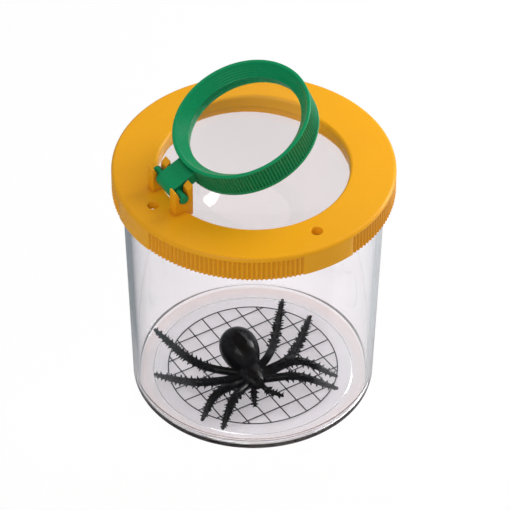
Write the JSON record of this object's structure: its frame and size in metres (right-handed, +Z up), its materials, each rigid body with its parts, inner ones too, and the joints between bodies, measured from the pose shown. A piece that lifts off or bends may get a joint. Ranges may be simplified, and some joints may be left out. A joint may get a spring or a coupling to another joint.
{
  "type": "bug catcher jar",
  "caption": "Clear round jar with a measuring grid on its floor, a ribbed push-on lid with a fixed lens and air holes, and a swinging magnifier hinged on the lid.",
  "frame": {"origin": "middle of the jar's foot, on the surface that it stands on", "axes": "+Z up along the jar's axis; the magnifier's hinge is on the -X side and its pin lies along Y"},
  "size_m": [0.0726, 0.0726, 0.0944],
  "materials": {
    "clear_polystyrene": "clear, polished moulding",
    "clear_lens": "clear, polished lens",
    "black_ink": "printed ink",
    "yellow_plastic": "satin moulding",
    "green_plastic": "satin moulding",
    "black_pvc": "glossy moulding"
  },
  "bodies": {
    "jar": {"jar": "clear_polystyrene", "grid_print": "black_ink"},
    "lid": {"lid": "yellow_plastic", "lid_lens": "clear_lens"},
    "magnifier": {"magnifier_frame": "green_plastic", "magnifier_lens": "clear_lens"},
    "spider": {"spider": "black_pvc"}
  },
  "joints": [
    {"name": "lid_lift", "type": "slide", "parent": "jar", "child": "lid", "axis": [0, 0, 1], "range_m": [0, 0.08]},
    {"name": "magnifier_swing", "type": "hinge", "parent": "lid", "child": "magnifier", "pos_m": [-0.0247, 0, 0.0748], "axis": [0, -1, 0], "range_deg": [-22.2, 157.8]},
    {"name": "spider_lift", "type": "slide", "parent": "jar", "child": "spider", "axis": [0, 0, 1], "range_m": [0, 0.03]}
  ]
}
